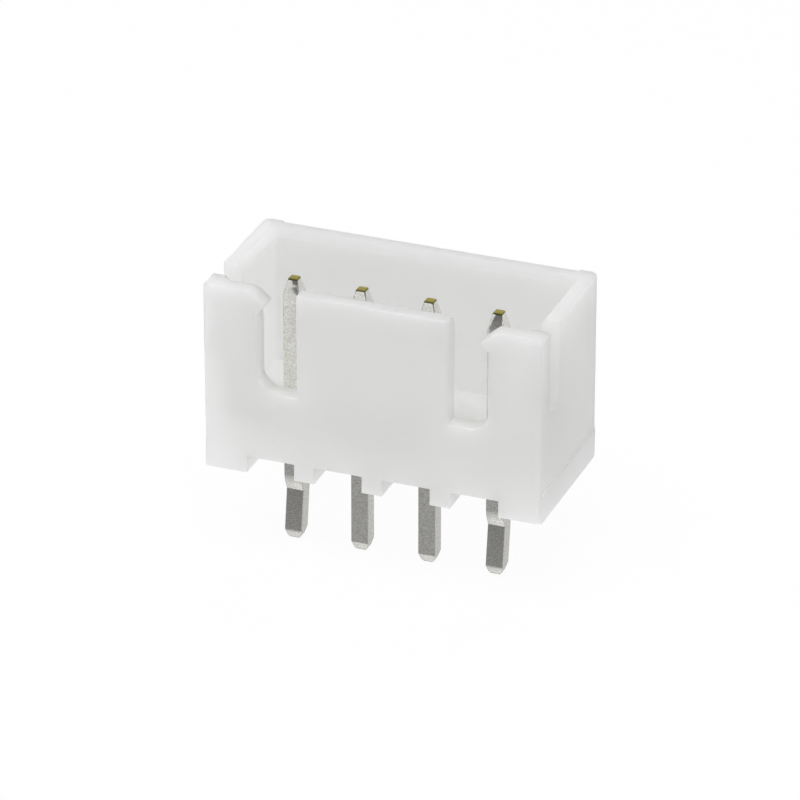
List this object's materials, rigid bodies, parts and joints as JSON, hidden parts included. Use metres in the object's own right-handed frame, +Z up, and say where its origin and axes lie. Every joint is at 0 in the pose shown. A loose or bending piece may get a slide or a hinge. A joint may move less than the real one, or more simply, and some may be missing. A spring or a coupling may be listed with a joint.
{
  "type": "pin header",
  "caption": "Straight shrouded pin header: a white open-topped box with keying slots and latch nibs around a single row of square tin-plated posts, for soldering into a board.",
  "frame": {"origin": "on the top of the board, in the middle of the post row", "axes": "+X along the post row, +Y towards the plain back wall (the slotted wall faces -Y), +Z up from the board, the way the plug leaves"},
  "size_m": [0.0124, 0.0057, 0.0105],
  "materials": {
    "housing": "natural white nylon, slightly translucent, satin moulded surface",
    "post": "tin plated, satin grey, with bare brass on the cut upper ends"
  },
  "bodies": {
    "root": {"housing": "housing", "post_1": "post", "post_2": "post", "post_3": "post", "post_4": "post"}
  },
  "joints": []
}
